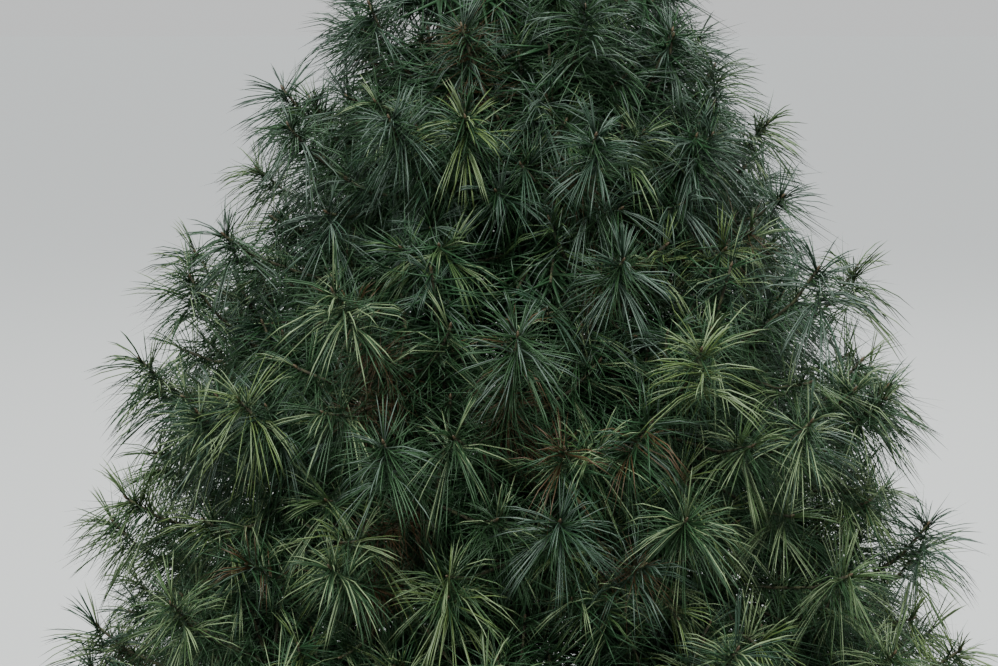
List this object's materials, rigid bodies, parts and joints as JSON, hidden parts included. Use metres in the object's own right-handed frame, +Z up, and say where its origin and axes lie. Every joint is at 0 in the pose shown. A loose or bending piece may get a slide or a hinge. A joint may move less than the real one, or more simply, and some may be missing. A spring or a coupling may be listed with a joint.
{
  "type": "pine tree",
  "caption": "Young sheared pine standing on a flat cut at ground level: one leaning tapered trunk, whorls of boughs and dense tufts of long needles in stacked tiers.",
  "frame": {"origin": "middle of the flat cut under the trunk, at ground level", "axes": "+Z up, the side that the picture shows faces -Y, and the trunk leans a little towards +X"},
  "size_m": [1.4108, 1.3938, 2.1009],
  "materials": {
    "bark": "matt brown-grey bark of a young pine, rough and lightly fissured on the trunk, smoother on the boughs",
    "needles": "slightly waxy long needles from deep green to yellow-green, with a silvery bloom along them"
  },
  "bodies": {
    "root": {"trunk": "bark", "bough_bottom_1": "bark", "bough_bottom_2": "bark", "bough_bottom_3": "bark", "bough_bottom_4": "bark", "bough_bottom_5": "bark", "bough_bottom_6": "bark", "bough_lower_1": "bark", "bough_lower_2": "bark", "bough_lower_3": "bark", "bough_lower_4": "bark", "bough_lower_5": "bark", "bough_lower_6": "bark", "bough_middle_1": "bark", "bough_middle_2": "bark", "bough_middle_3": "bark", "bough_middle_4": "bark", "bough_middle_5": "bark", "bough_middle_6": "bark", "bough_upper_1": "bark", "bough_upper_2": "bark", "bough_upper_3": "bark", "bough_upper_4": "bark", "bough_upper_5": "bark", "foliage_bottom_1": "needles", "foliage_bottom_2": "needles", "foliage_bottom_3": "needles", "foliage_bottom_4": "needles", "foliage_bottom_5": "needles", "foliage_bottom_6": "needles", "foliage_lower_1": "needles", "foliage_lower_2": "needles", "foliage_lower_3": "needles", "foliage_lower_4": "needles", "foliage_lower_5": "needles", "foliage_lower_6": "needles", "foliage_middle_1": "needles", "foliage_middle_2": "needles", "foliage_middle_3": "needles", "foliage_middle_4": "needles", "foliage_middle_5": "needles", "foliage_middle_6": "needles", "foliage_upper_1": "needles", "foliage_upper_2": "needles", "foliage_upper_3": "needles", "foliage_upper_4": "needles", "foliage_upper_5": "needles", "foliage_top_1": "needles", "foliage_top_2": "needles", "foliage_top_3": "needles", "foliage_top_4": "needles", "foliage_leader": "needles"}
  },
  "joints": []
}
